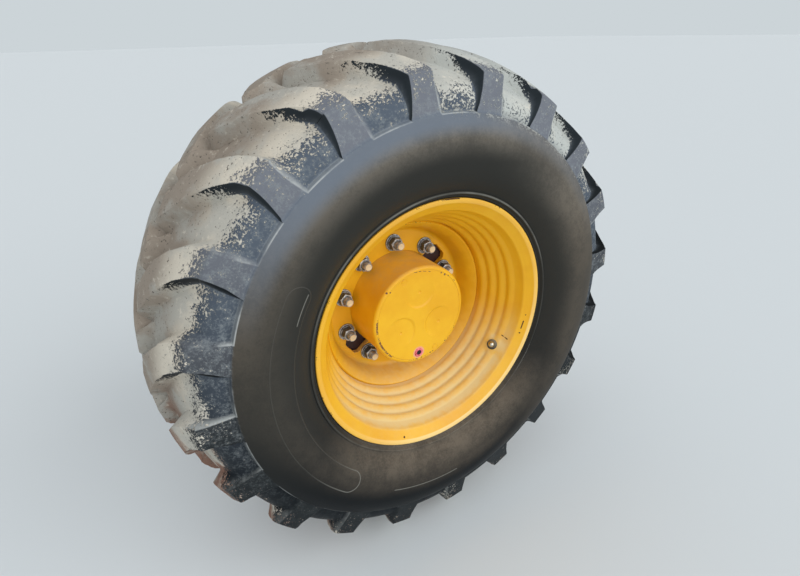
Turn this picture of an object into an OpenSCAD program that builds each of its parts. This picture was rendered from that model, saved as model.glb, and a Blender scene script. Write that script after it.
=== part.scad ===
// Rear wheel of a loader, with its planetary hub and the axle arm that carries it.
// The axle lies along Y: the origin is the centre of the arm's bolting face, the wheel is towards -Y, Z is up.
// Outlines for revolved pieces are lists of [radius, reach], where reach is the distance out from that face.
// Angles start at +X and grow towards +Z, as seen from the wheel's outer side.

/* [Rim] */
// Radius of the rim over its flanges
rim_r = 333; // [328:1:337]
// Width of the rim over its flanges
rim_w = 434; // [426:1:442]
// Width between the flanges, where the tyre's beads sit
bead_gap_w = 406.4; // [400:0.4:412]
// Height of the flanges above the bead seats
flange_h = 28.2; // [26:0.1:31]
// Bend radius between each flange and its bead seat
heel_r = 12; // [8:1:14]
// Width of each bead seat
seat_w = 31.7; // [26:0.1:36]
// How far a bead seat falls towards the well
seat_fall = 3.8; // [2:0.1:6]
// Thickness of the rolled rim
rim_wall = 8; // [6:0.5:10]
// Radius of the well on the tyre's side
well_r = 250; // [244:1:256]
// Half width of the well
well_half = 71; // [66:1:76]
// Height of the rolled waves on the slopes of the rim
wave_h = 4.5; // [2:0.5:6]
// Number of waves on each slope
wave_count = 4; // [3:1:5]
// Height of the outward curl of each flange
curl_h = 13; // [10:0.5:16]
// Thickness of the flange at its lip
lip_t = 5; // [3:0.5:6]

/* [Disc] */
// Thickness of the wheel disc
disc_t = 16; // [12:1:20]
// Distance from the disc's seat out to the rim's middle
rim_offset = 10; // [0:1:20]
// Radius of the disc's pilot bore
pilot_r = 140.5; // [138:0.5:144]
// Radius of the disc's flat face
face_r = 205; // [200:1:208]
// Radius of the dish at its mouth
dish_r = 218.5; // [214:0.5:222]
// Depth of the dish from its face to its mouth
dish_depth = 45; // [36:1:54]
// Depth of the flare from the dish's mouth to the weld on the rim
flare_depth = 20; // [14:1:24]
// Bend radius between the flat face and the wall of the dish
bend_r = 10; // [4:1:12]
// Rounding of the disc's edge beside the weld
disc_edge_r = 6; // [3:1:8]
// Width of the two notches in the pilot bore
notch_w = 60; // [40:1:70]
// Radius at the bottom of the notches
notch_r = 189; // [180:1:194]
// Corner chamfer of the notches
notch_chamfer = 10; // [4:1:16]

/* [Studs] */
// Number of wheel studs
stud_count = 10; // [8:1:10]
// Pitch circle diameter of the studs
stud_pcd = 335; // [333:1:338]
// Diameter of the studs
stud_d = 22; // [18:1:24]
// Angle of the first stud
stud_turn = 19.3; // [0:0.1:36]
// Length of stud that stands out of the disc
stud_out = 42; // [34:1:50]
// Diameter of the stud's head behind the hub flange
head_d = 33; // [28:1:36]
// Height of the stud's head
head_h = 11; // [8:1:14]
// Clearance of the disc's holes around the studs
hole_gap = 1; // [0.5:0.1:2]
// Nut size across its flats
nut_flats = 32; // [30:1:34]
// Height of the nuts
nut_h = 19; // [16:1:22]
// Diameter of the washers
washer_d = 47; // [42:1:52]
// Thickness of the washers
washer_t = 5; // [3:0.5:8]

/* [Hub] */
// Length of the hub barrel beyond the disc's seat
barrel_len = 139; // [130:1:146]
// Radius of the hub barrel
barrel_r = 139; // [136:0.5:140]
// Step from the barrel up to the disc's pilot bore
pilot_step = 2; // [1:0.5:4]
// Rounding of the barrel's end
barrel_round = 9; // [4:0.5:10]
// Radius of the hub flange behind the disc
hub_flange_r = 200; // [196:1:206]
// Thickness of the hub flange
hub_flange_t = 28; // [22:1:34]
// Radius of the hub's body behind its flange
body_r = 146; // [142:1:149]
// Length of the hub's body behind its flange
body_len = 82; // [70:1:94]
// Radius of the hub's inner end
tail_r = 118; // [114:1:122]
// Length of the hub's inner end
tail_len = 20; // [14:1:26]
// Length of the taper from the hub's body to its inner end
tail_taper = 30; // [20:1:40]
// Radius of the gear chamber in the barrel
chamber_r = 112; // [106:1:116]

/* [Hub cover] */
// Radius of the hub cover
cover_r = 128; // [124:0.5:131]
// Thickness of the hub cover
cover_t = 16; // [12:1:20]
// Chamfer round the cover's face
cover_chamfer = 1; // [0.5:0.5:2]
// Depth of the cover's spigot in the chamber
spigot_depth = 8; // [5:1:12]
// Number of planet gear pins behind the cover
planet_count = 3; // [3:1:4]
// Radius of the circle of planet pins
planet_pitch_r = 69; // [64:1:74]
// Angle of the first planet pin
planet_turn = 90; // [0:1:120]
// Radius of the shallow round recess over each planet pin
recess_r = 46; // [40:1:48]
// Depth of those recesses
recess_depth = 2; // [1:0.5:4]
// Radius of the dimple at each planet pin
dimple_r = 6; // [4:0.5:9]
// Depth of the dimples below the recess
dimple_depth = 3; // [1:0.5:5]
// Radius of the circle on which the drain plug sits
plug_pitch_r = 110; // [107:0.5:111]
// Angle of the drain plug
plug_turn = -93; // [-110:1:-75]
// Radius of the drain plug's head
plug_r = 13; // [10:0.5:15]
// Radius of the drain plug's thread
plug_thread_r = 9; // [7:0.5:10]
// Height of the drain plug's head
plug_h = 5; // [3:0.5:8]
// Width of the plug's square socket
socket_w = 12; // [8:0.5:14]
// Radius of the circle on which the two cover screws sit
screw_pitch_r = 119; // [118:0.5:120]
// Angle of the first cover screw
screw_turn = 113.7; // [100:1:140]
// Radius of the cover screws' heads
screw_r = 6.5; // [5:0.5:7]
// Radius of the cover screws' threads
screw_thread_r = 4; // [3:0.5:4.5]

/* [Tyre] */
// Radius of the tyre over its lugs
tyre_r = 655; // [645:1:665]
// Width of the tyre over its sidewalls
tyre_w = 526; // [520:1:534]
// Width of the tread over the corners of its lugs
tread_w = 440; // [430:1:446]
// How far the tread falls from its middle to the lug corners
tread_drop = 55; // [48:1:60]
// Height of the lugs at the middle of the tread
lug_h = 33; // [28:1:38]
// Width of the floor between the lugs
floor_w = 370; // [360:1:380]
// How far that floor falls from its middle to its edges
floor_drop = 40; // [34:1:46]
// How far the shoulders bow out between the floor and the sidewalls
shoulder_bow = 9; // [5:1:12]
// Radius at which the lugs run out on the sidewall
foot_r = 513; // [506:1:520]
// Width of the tyre where the lugs run out
foot_w = 480; // [474:1:486]
// Height of the rib round the sidewall above the rim's flange
guard_h = 17; // [14:1:22]
// Width of the tyre over those ribs
guard_w = 442; // [438:1:448]
// Number of lugs on each side
lug_count = 20; // [16:1:22]
// Angle of the first outer lug at the edge of the tread
lug_turn = 5.7; // [0:0.1:18]
// Angle through which a lug sweeps from the edge to the middle
lug_sweep = 15.5; // [10:0.5:20]
// Width of a lug at its top
lug_w = 60; // [50:1:66]
// Width of a lug at its foot
lug_foot_w = 104; // [90:1:110]
// Width of a lug's nose at its top
nose_w = 40; // [34:1:50]
// Width of a lug's nose at its foot
nose_foot_w = 68; // [60:1:76]
// How far a lug's end stands out of the sidewall
lug_toe_h = 3; // [1:0.5:5]
// Thickness of the tyre under the tread
crown_wall = 26; // [20:1:32]
// Thickness of the sidewalls
side_wall = 20; // [15:1:26]
// Width of the beads
bead_w = 36; // [30:1:42]

/* [Valve] */
// Angle of the valve
valve_turn = -33.5; // [-50:0.5:-20]
// Distance of the valve out from the rim's middle
valve_reach = 153; // [145:1:156]
// Radius of the valve's stem
stem_r = 7.5; // [6:0.5:9]
// Radius of the valve's rubber seat
grommet_r = 15; // [12:0.5:17]
// Thickness of the valve's rubber seat
grommet_t = 4; // [3:0.5:6]
// Radius of the flat pad under the valve
pad_r = 20; // [17:1:22]
// Radius of the domed valve cap
cap_r = 9; // [8:0.5:11]

/* [Axle arm] */
// Length from the bolting face to the wheel disc's seat
arm_len = 600; // [580:1:640]
// Radius of the bolting flange
arm_flange_r = 170; // [165:1:178]
// Thickness of the bolting flange
arm_flange_t = 26; // [20:1:32]
// Radius of the arm just outboard of the bolting flange
arm_root_r = 112; // [104:1:118]
// Radius of the arm at its slim end
arm_neck_r = 86; // [82:1:88]
// Thickness of the arm's wall
arm_wall = 18; // [14:1:22]
// Number of bolts in the bolting flange
flange_holes = 12; // [8:1:12]
// Pitch circle diameter of those bolts
flange_pcd = 300; // [294:1:304]
// Radius of those bolt holes
flange_hole_r = 9; // [8:0.5:10]
// Radius of the spigot that centres the arm
spigot_r = 116; // [110:1:120]
// Length of that spigot
spigot_len = 10; // [6:1:14]
// Number of ribs behind the bolting flange
rib_count = 4; // [4:1:8]
// Thickness of the ribs
rib_t = 16; // [10:1:20]
// Length of the ribs
rib_len = 90; // [60:1:100]

/* [Chassis pad] */
// Distance of the chassis pad's middle from the bolting face
pad_reach = 190; // [180:1:200]
// Length of the pad across the axle
pad_x = 180; // [160:1:200]
// Length of the pad along the axle
pad_y = 130; // [120:1:140]
// Height of the pad's top above the axle's centre line
pad_z = 142; // [136:1:150]
// Thickness of the pad
pad_t = 30; // [24:1:36]
// Bolt spacing across the axle
pad_pitch_x = 130; // [120:1:136]
// Bolt spacing along the axle
pad_pitch_y = 84; // [76:1:90]
// Radius of the pad's bolt holes
pad_hole_r = 11; // [9:0.5:12]
// Distance from the pad's bolts to the middle of the webs beside them
pad_web_gap = 27.5; // [24:0.5:32]

/* [Spindle] */
// Radius of the end flanges that join the arm and the spindle
end_flange_r = 122; // [119:1:126]
// Thickness of the arm's end flange
end_flange_t = 20; // [16:1:24]
// Thickness of the spindle's flange
spindle_flange_t = 18; // [14:1:22]
// Radius of the spindle's inner journal
journal_r = 80; // [76:1:84]
// Length of the inner journal
journal_len = 50; // [42:1:56]
// Radius of the spindle's outer journal
tip_journal_r = 62; // [58:1:66]
// How far the spindle's end reaches past the disc's seat
spindle_out = 12; // [6:1:18]
// Radius of the bore for the half shaft
shaft_bore_r = 34; // [32:1:38]
// Number of bolts that hold the spindle
spindle_bolts_n = 10; // [8:1:12]
// Pitch radius of those bolts
spindle_bolt_pitch_r = 104; // [102:1:106]
// Radius of those bolts
spindle_bolt_r = 7; // [6:0.5:8]
// Head size of those bolts across the flats
spindle_bolt_flats = 21; // [19:1:23]
// Head height of those bolts
spindle_bolt_head = 9; // [7:1:12]
// Thickness of the dust ring
dust_t = 4; // [3:0.5:6]
// How far the dust ring reaches over the hub's inner end
dust_cover = 22; // [16:1:26]

/* [Half shaft] */
// Radius of the half shaft
shaft_r = 26; // [22:0.5:27]
// Length of splined shaft that stands out of the bolting face
shaft_out = 60; // [45:1:75]
// Number of splines
spline_count = 16; // [12:1:24]
// Depth of the splines
spline_h = 3; // [2:0.5:4]

/* [Breather] */
// Distance of the breather from the bolting face
breather_reach = 320; // [300:1:340]
// Radius of the breather's cap
breather_r = 11; // [8:0.5:14]
// Radius of the breather's cap at its top
breather_top_r = 7.5; // [5:0.5:8]
// Radius of the breather's stem
breather_stem_r = 5.5; // [4:0.5:7]
// Height of the breather
breather_h = 24; // [18:1:30]

/* [Fits] */
// Gap between pieces that seat on each other's round faces
seat_gap = 0.3; // [0.1:0.05:0.5]
// Gap of the running fits
run_gap = 0.05; // [0.02:0.01:0.1]
// Room round pieces that turn
turn_gap = 6; // [5:0.5:8]
// Gap round bolts and studs in the holes that hold them
bolt_gap = 0.15; // [0.05:0.05:0.3]

/* [Hidden] */
$fn = 48;

disc_face = arm_len + disc_t;
rim_mid = arm_len + rim_offset;
hub_end = arm_len + barrel_len;
bead_half = bead_gap_w / 2;
rim_half = rim_w / 2;
slope_half = bead_half - seat_w;
seat_r = rim_r - flange_h;
guard_r = rim_r + guard_h;
slope_in_r = seat_r - rim_wall - seat_fall;
well_in_r = well_r - rim_wall;
slope_angle = atan2(slope_in_r - well_in_r, slope_half - well_half);
stud_r = stud_d / 2;
chamber_start = arm_len + spindle_out + turn_gap;
hub_tail = arm_len - hub_flange_t - body_len - tail_taper - tail_len;
spindle_face = hub_tail - turn_gap;
arm_end = spindle_face - spindle_flange_t;
arm_neck_end = arm_end - end_flange_t;
shaft_end = chamber_start + turn_gap;
tread_half = tread_w / 2;
floor_half = floor_w / 2;
floor_r = tyre_r - lug_h;
// How deep a lug's foot is rooted in the tyre
lug_root = 12;
lug_steps = 7;
// A lug's line bends away from straight by this power
lug_bend = 1.5;
crown_steps = 16;
side_steps = 12;
shoulder_steps = 6;
bend_steps = 4;
// Points along each wave of the rim
wave_steps = 6;
overlap = 1;
// How far the flange's outward curl bows
curl_bow = 2;
// The barrel's rounding leaves a narrow flat ring beside the cover
barrel_edge = min(barrel_round, barrel_r - cover_r - 2 * overlap);

// Points on an arc from a to b that bows out by h to the right of that line
function bow(a, b, h, n) =
    let (chord = norm(b - a), side = h < 0 ? -1 : 1,
         r = (chord * chord / 4 + h * h) / (2 * abs(h)),
         right = [b.y - a.y, a.x - b.x] / chord,
         centre = (a + b) / 2 + right * (h - side * r),
         sweep = 2 * asin(chord / 2 / r), arm = a - centre)
    [for (i = [0 : n]) let (t = side * sweep * i / n)
        centre + [arm.x * cos(t) - arm.y * sin(t), arm.x * sin(t) + arm.y * cos(t)]];

// Quarter circle that starts at a, runs along the diagonal named by way and bows out to its right
function quarter(a, way, radius) = bow(a, a + radius * way, radius * (1 - cos(45)), bend_steps);

function reversed(points) = [for (i = [len(points) - 1 : -1 : 0]) points[i]];

// Mirrors a half outline to the other side of its middle and runs it backwards
function mirrored(points) = [for (p = reversed(points)) [p.x, -p.y]];

function lifted(points, reach) = [for (p = points) [p.x, p.y + reach]];

// Radius of an arc of the given chord and rise
function arc_radius(chord, rise) = (chord * chord / 4 + rise * rise) / (2 * rise);

// Height lost at distance a from the top of an arc
function arc_fall(a, radius) = radius - sqrt(radius * radius - a * a);

// Turns a shape made along Z so that it lies along the axle
module on_axle() { rotate([90, 0, 0]) children(); }

module revolved(points) { on_axle() rotate_extrude($fn = 96) polygon(points); }

module tube(r_out, r_in, from, to) {
    on_axle() translate([0, 0, from]) linear_extrude(to - from) difference() {
        circle(r_out);
        circle(r_in);
    }
}

// Places children at count places round the axle, at one radius
module around(count, radius, turn = 0) {
    for (i = [0 : count - 1])
        on_axle() rotate([0, 0, turn + 360 * i / count]) translate([radius, 0, 0]) children();
}

module bar(r, from, to) { translate([0, 0, from]) cylinder(r = r, h = to - from); }

module hexagon(flats, from, to) {
    translate([0, 0, from]) cylinder(r = flats / 2 / cos(30), h = to - from, $fn = 6);
}

// Tyre

// The flange's curve on the tyre's side, from the lip in to the bead seat, moved out by a gap
function flange_curve(gap) =
    concat(bow([rim_r + gap, rim_half - lip_t - gap], [rim_r - curl_h + gap, bead_half - gap], -curl_bow, bend_steps),
           quarter([seat_r + heel_r, bead_half - gap], [-1, -1], heel_r - gap));

// Half of the tyre's outer skin from the middle of the tread to the toe of the bead
function tyre_skin() =
    let (edge = [floor_r - floor_drop, floor_half], foot = [foot_r, foot_w / 2],
         guard = [guard_r, guard_w / 2], side_bow = tyre_w / 2 - (foot_w + guard_w) / 4)
    concat([for (p = bow([edge.x, -edge.y], edge, floor_drop, crown_steps)) if (p.y > overlap) p],
           [for (p = bow(edge, foot, shoulder_bow, shoulder_steps)) if (p.y != edge.y) p],
           [for (p = bow(foot, guard, side_bow, side_steps)) if (p.x != foot.x) p],
           [[rim_r + lip_t, rim_half - seat_gap]], flange_curve(seat_gap),
           [[seat_r + seat_gap, bead_half - bead_w]]);

// Half of the tyre's lining from the toe of the bead to the middle of the tread
function tyre_lining() =
    let (edge = [floor_r - floor_drop - crown_wall, floor_half],
         low = [rim_r + curl_h, bead_half - bead_w / 2], toe = [seat_r + curl_h, bead_half - bead_w],
         swell = tyre_w / 2 - side_wall - (edge.y + low.y) / 2,
         crown = bow([edge.x, -edge.y], edge, floor_drop, crown_steps))
    concat([toe], bow(low, edge, -swell, side_steps),
           [for (i = [crown_steps - 1 : -1 : 0]) if (crown[i].y > overlap) crown[i]]);

crown_radius = arc_radius(tread_w, tread_drop);
floor_radius = arc_radius(floor_w, floor_drop);

// One corner of a lug: u runs from the tread's edge to its middle, side is -1 or 1
function lug_point(u, side, width, top) =
    let (run = tyre_r * lug_sweep * PI / 180,
         line = [lug_bend * run * pow(u, lug_bend - 1), -tread_half], heading = line / norm(line),
         along = run * pow(u, lug_bend) - side * heading.y * width / 2,
         a = tread_half * (1 - u) + side * heading.x * width / 2,
         r = top ? tyre_r - arc_fall(a, crown_radius) : floor_r - lug_root - arc_fall(a, floor_radius),
         t = along / tyre_r * 180 / PI)
    [r * cos(t), r * sin(t), a];

// The two rooted corners where a lug's outer end runs out on the sidewall
function lug_toe(side) =
    let (r = foot_r - lug_root / 2, t = side * lug_foot_w / 2 / tyre_r * 180 / PI)
    [r * cos(t), r * sin(t), foot_w / 2 + lug_toe_h];

function lug_ring(i) =
    let (u = i / lug_steps, last = i == lug_steps,
         width = last ? nose_w : lug_w,
         foot = last ? nose_foot_w : lug_foot_w + (nose_foot_w - lug_foot_w) * u)
    [i == 0 ? lug_toe(-1) : lug_point(u, -1, foot, false),
     i == 0 ? lug_toe(1) : lug_point(u, 1, foot, false),
     lug_point(u, 1, width, true),
     lug_point(u, -1, width, true)];

module lug() {
    rings = [for (i = [0 : lug_steps]) lug_ring(i)];
    n = len(rings[0]);
    sides = [for (i = [0 : lug_steps - 1], k = [0 : n - 1])
        let (a = i * n + k, b = i * n + (k + 1) % n)
        each [[a, b + n, b], [a, a + n, b + n]]];
    last = lug_steps * n;
    ends = [for (k = [1 : n - 2]) each [[0, k, k + 1], [last, last + k + 1, last + k]]];
    polyhedron([for (ring = rings) each ring], concat(sides, ends));
}

module lugs_of_one_side(turn) {
    for (i = [0 : lug_count - 1]) rotate([0, 0, turn + 360 * i / lug_count]) lug();
}

module tyre() {
    skin = tyre_skin();
    lining = tyre_lining();
    section = concat(skin, lining, mirrored(lining), mirrored(skin));
    color("#2b2a2a") {
        revolved(lifted(section, rim_mid));
        on_axle() translate([0, 0, rim_mid]) {
            lugs_of_one_side(lug_turn);
            mirror([0, 0, 1]) lugs_of_one_side(lug_turn + 180 / lug_count);
        }
    }
}

// Rim and disc

// Half of the rim's section on the tyre's side, from the well out to the lip
function rim_tyre_side() =
    let (shift = rim_wall * [cos(slope_angle), -sin(slope_angle)])
    concat([for (p = wave_line()) if (p.x + shift.x > well_r) p + shift],
           [[seat_r - seat_fall, slope_half]], reversed(flange_curve(0)), [[rim_r, rim_half]]);

// The rolled waves on the inner face of a slope, from the well outwards
function wave_line() =
    let (n = wave_count * wave_steps)
    [for (i = [0 : n]) let (t = i / n)
        [well_in_r + (slope_in_r - well_in_r) * t - wave_h * (1 - cos(360 * wave_count * t)) / 2,
         well_half + (slope_half - well_half) * t]];

// Half of the rim's section on the inner side, from the lip back to the well
function rim_inner_side() =
    concat([[rim_r - lip_t, rim_half]],
           quarter([seat_r + heel_r, bead_half + rim_wall], [-1, -1], heel_r + rim_wall),
           reversed(wave_line()));

// Frame on the rim's slope at the valve, with Z pointing out of the inner face
module at_valve() {
    r = well_in_r + (slope_in_r - well_in_r) * (valve_reach - well_half) / (slope_half - well_half);
    on_axle() rotate([0, 0, valve_turn]) translate([r, 0, rim_mid + valve_reach])
        rotate([0, slope_angle - 90, 0]) children();
}

module rim() {
    half = concat(rim_tyre_side(), rim_inner_side());
    color("#e0a21b") difference() {
        union() {
            revolved(lifted(concat(half, mirrored(half)), rim_mid));
            at_valve() bar(pad_r, -rim_wall / 2, wave_h);
        }
        at_valve() bar(stem_r + seat_gap, -2 * rim_wall, 2 * rim_wall);
    }
}

module notch_cut() {
    half = notch_w / 2;
    linear_extrude(disc_t + 2 * overlap) polygon([
        [0, -half], [notch_r - notch_chamfer, -half], [notch_r, notch_chamfer - half],
        [notch_r, half - notch_chamfer], [notch_r - notch_chamfer, half], [0, half]]);
}

module disc() {
    weld_r = well_in_r - seat_gap;
    mouth = disc_face + dish_depth;
    edge = mouth + flare_depth;
    // The wall of the dish leans out by this much along one bend radius
    lean = bend_r * (dish_r - face_r) / dish_depth;
    bend_bow = bend_r / 4;
    outline = concat(
        [[pilot_r, arm_len]],
        bow([face_r + disc_t - bend_r, arm_len], [face_r + disc_t + lean, arm_len + bend_r], bend_bow, bend_steps),
        [[dish_r + disc_t, mouth], [weld_r, edge - disc_t], [weld_r, edge - disc_edge_r],
         [weld_r - disc_edge_r, edge], [dish_r, mouth]],
        bow([face_r + lean, disc_face + bend_r], [face_r - bend_r, disc_face], -bend_bow, bend_steps),
        [[pilot_r, disc_face]]);
    color("#dd9d16") difference() {
        revolved(outline);
        around(stud_count, stud_pcd / 2, stud_turn)
            bar(stud_r + hole_gap, arm_len - overlap, disc_face + overlap);
        for (side = [0, 180]) on_axle()
            rotate([0, 0, stud_turn + 180 / stud_count + side])
                translate([0, 0, arm_len - overlap]) notch_cut();
    }
}

module valve_seat() {
    color("#1f1f1f") at_valve() {
        bar(stem_r, -rim_wall, wave_h + grommet_t);
        bar(grommet_r, wave_h, wave_h + grommet_t);
    }
}

module valve_cap() {
    color("silver") at_valve() translate([0, 0, wave_h + grommet_t]) {
        cylinder(r = cap_r, h = cap_r / 2);
        translate([0, 0, cap_r / 2]) intersection() {
            sphere(cap_r);
            cylinder(r = cap_r, h = cap_r);
        }
    }
}

// Hub

module hub() {
    back = arm_len - hub_flange_t;
    tail = back - body_len;
    ledge = hub_end - cover_t;
    outer = concat([
        [tail_r, hub_tail], [tail_r, hub_tail + tail_len], [body_r, tail], [body_r, back],
        [hub_flange_r, back], [hub_flange_r, arm_len], [pilot_r - seat_gap, arm_len],
        [pilot_r - seat_gap, disc_face], [barrel_r, disc_face + pilot_step]],
        quarter([barrel_r, hub_end - barrel_edge], [-1, 1], barrel_edge),
        [[cover_r + seat_gap, hub_end]]);
    inner = [
        [cover_r + seat_gap, ledge], [chamber_r, ledge], [chamber_r, chamber_start],
        [tip_journal_r + run_gap, chamber_start], [tip_journal_r + run_gap, back],
        [journal_r + turn_gap, back - tip_journal_r / 2], [journal_r + turn_gap, hub_tail + journal_len],
        [journal_r + run_gap, hub_tail + journal_len], [journal_r + run_gap, hub_tail]];
    color("#dd9d16") difference() {
        revolved(concat(outer, inner));
        around(stud_count, stud_pcd / 2, stud_turn)
            bar(stud_r + bolt_gap, back - overlap, arm_len + overlap);
    }
}

module hub_cover() {
    base = hub_end - cover_t;
    outline = [[0, base - spigot_depth], [chamber_r - seat_gap, base - spigot_depth], [chamber_r - seat_gap, base],
               [cover_r, base], [cover_r, hub_end - cover_chamfer], [cover_r - cover_chamfer, hub_end],
               [0, hub_end]];
    color("#e0a21b") difference() {
        revolved(outline);
        around(planet_count, planet_pitch_r, planet_turn) {
            bar(recess_r, hub_end - recess_depth, hub_end + overlap);
            bar(dimple_r, hub_end - recess_depth - dimple_depth, hub_end);
        }
        around(1, plug_pitch_r, plug_turn) {
            bar(plug_thread_r + seat_gap, base - spigot_depth - overlap, hub_end);
            bar(plug_r + seat_gap, hub_end - plug_h, hub_end + overlap);
        }
        around(2, screw_pitch_r, screw_turn) {
            bar(screw_thread_r + bolt_gap, base - overlap, hub_end);
            bar(screw_r + bolt_gap, hub_end - screw_r, hub_end + overlap);
        }
    }
}

module drain_plug() {
    color("#b3202c") around(1, plug_pitch_r, plug_turn) difference() {
        union() {
            bar(plug_thread_r, hub_end - cover_t, hub_end - plug_h);
            bar(plug_r, hub_end - plug_h, hub_end + plug_h / 2);
        }
        translate([-socket_w / 2, -socket_w / 2, hub_end - plug_h / 2]) cube([socket_w, socket_w, plug_h * 2]);
    }
}

module cover_screws() {
    color("gray") around(2, screw_pitch_r, screw_turn) {
        bar(screw_thread_r, hub_end - cover_t, hub_end - screw_r);
        bar(screw_r, hub_end - screw_r, hub_end);
    }
}

module studs() {
    back = arm_len - hub_flange_t;
    color("dimgray") around(stud_count, stud_pcd / 2, stud_turn) {
        bar(head_d / 2, back - head_h, back);
        bar(stud_r, back, disc_face + stud_out);
    }
}

module washers() {
    color("silver") around(stud_count, stud_pcd / 2, stud_turn) difference() {
        bar(washer_d / 2, disc_face, disc_face + washer_t);
        bar(stud_r + bolt_gap, disc_face - overlap, disc_face + washer_t + overlap);
    }
}

module nuts() {
    seat = disc_face + washer_t;
    color("gray") around(stud_count, stud_pcd / 2, stud_turn) difference() {
        hexagon(nut_flats, seat, seat + nut_h);
        bar(stud_r + bolt_gap, seat - overlap, seat + nut_h + overlap);
    }
}

// Axle arm, spindle and half shaft

module ribs() {
    for (i = [0 : rib_count - 1]) on_axle() rotate([0, 0, 45 + 360 * i / rib_count])
        rotate([90, 0, 0]) translate([0, 0, -rib_t / 2]) linear_extrude(rib_t) polygon([
            [arm_root_r - arm_wall, arm_flange_t - overlap],
            [arm_flange_r - rib_t, arm_flange_t - overlap],
            [arm_flange_r - rib_t, arm_flange_t + overlap],
            [arm_root_r - rib_t / 2, arm_flange_t + rib_len],
            [arm_root_r - arm_wall, arm_flange_t + rib_len]]);
}

module chassis_pad() {
    translate([-pad_x / 2, -pad_reach - pad_y / 2, pad_z - pad_t]) cube([pad_x, pad_y, pad_t]);
    // Two webs between the bolts carry the pad down to the arm
    web_x = pad_pitch_x / 2 - pad_web_gap;
    for (side = [-1, 1])
        translate([side * web_x - rib_t / 2, -pad_reach - pad_y / 2, 0])
            cube([rib_t, pad_y, pad_z - pad_t + overlap]);
}

module axle_arm() {
    outer = [
        [spigot_r, -spigot_len], [spigot_r, 0], [arm_flange_r, 0], [arm_flange_r, arm_flange_t],
        [arm_root_r, arm_flange_t], [arm_root_r, arm_flange_t + rib_len / 2], [arm_neck_r, arm_neck_end - rib_len],
        [arm_neck_r, arm_neck_end], [end_flange_r, arm_neck_end], [end_flange_r, arm_end]];
    inner = [
        [arm_neck_r - arm_wall, arm_end], [arm_neck_r - arm_wall, arm_neck_end - rib_len],
        [arm_root_r - arm_wall, arm_flange_t + rib_len / 2], [arm_root_r - arm_wall, -spigot_len]];
    color("#d89a18") difference() {
        union() {
            revolved(concat(outer, inner));
            difference() {
                union() {
                    ribs();
                    chassis_pad();
                }
                // The casting's inside stays open
                revolved(concat([[0, -spigot_len]], reversed(inner), [[0, arm_end]]));
            }
        }
        around(flange_holes, flange_pcd / 2) bar(flange_hole_r, -overlap, arm_flange_t + overlap);
        around(spindle_bolts_n, spindle_bolt_pitch_r)
            bar(spindle_bolt_r + bolt_gap, arm_neck_end - overlap, arm_end + overlap);
        for (sx = [-1, 1], sy = [-1, 1])
            translate([sx * pad_pitch_x / 2, -pad_reach + sy * pad_pitch_y / 2, pad_z - pad_t - overlap])
                cylinder(r = pad_hole_r, h = pad_t + 2 * overlap);
        breather_hole();
    }
}

module breather_hole() {
    translate([0, -breather_reach, 0]) cylinder(r = breather_stem_r + bolt_gap, h = arm_root_r + overlap);
}

module breather() {
    foot = arm_root_r;
    shoulder = foot + breather_h / 2;
    color("gray") translate([0, -breather_reach, 0]) {
        bar(breather_stem_r, arm_neck_r - arm_wall / 2, foot);
        bar(breather_r, foot, shoulder);
        translate([0, 0, shoulder]) cylinder(r1 = breather_r, r2 = breather_top_r, h = breather_h / 2);
    }
}

module spindle() {
    tip = arm_len + spindle_out;
    back = arm_len - hub_flange_t;
    journal = spindle_face + turn_gap + journal_len;
    outline = [
        [shaft_bore_r, arm_end], [end_flange_r, arm_end], [end_flange_r, spindle_face],
        [journal_r, spindle_face], [journal_r, journal], [tip_journal_r, back - tip_journal_r / 2 - turn_gap],
        [tip_journal_r, tip], [shaft_bore_r, tip]];
    color("dimgray") difference() {
        revolved(outline);
        around(spindle_bolts_n, spindle_bolt_pitch_r)
            bar(spindle_bolt_r + bolt_gap, arm_end - overlap, spindle_face + overlap);
    }
}

module spindle_bolts() {
    color("gray") around(spindle_bolts_n, spindle_bolt_pitch_r) {
        hexagon(spindle_bolt_flats, arm_neck_end - spindle_bolt_head, arm_neck_end);
        bar(spindle_bolt_r, arm_neck_end, spindle_face);
    }
}

module dust_ring() {
    inside = end_flange_r + seat_gap;
    color("dimgray") tube(inside + dust_t, inside, arm_end, spindle_face + dust_cover);
}

module spline_section() {
    // Each spline is as wide as the gap beside it
    tooth_w = PI * shaft_r / spline_count;
    circle(shaft_r - spline_h);
    for (i = [0 : spline_count - 1]) rotate(360 * i / spline_count)
        translate([shaft_r - spline_h - overlap, -tooth_w / 2]) square([spline_h + overlap, tooth_w]);
}

module half_shaft() {
    collar = arm_len - hub_flange_t;
    color("silver") {
        on_axle() translate([0, 0, -shaft_out]) linear_extrude(shaft_out) spline_section();
        tube_bar(shaft_r - spline_h, 0, collar);
        tube_bar(shaft_bore_r - run_gap, collar, arm_len + spindle_out);
        tube_bar(shaft_r, arm_len + spindle_out, shaft_end);
    }
}

module tube_bar(r, from, to) { on_axle() bar(r, from, to); }

axle_arm();
breather();
spindle();
spindle_bolts();
dust_ring();
half_shaft();
tyre();
rim();
disc();
valve_seat();
valve_cap();
hub();
hub_cover();
cover_screws();
drain_plug();
studs();
washers();
nuts();
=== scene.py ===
import math
from functools import partial
import bmesh
import bpy
from mathutils import Matrix, Vector, noise


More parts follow.
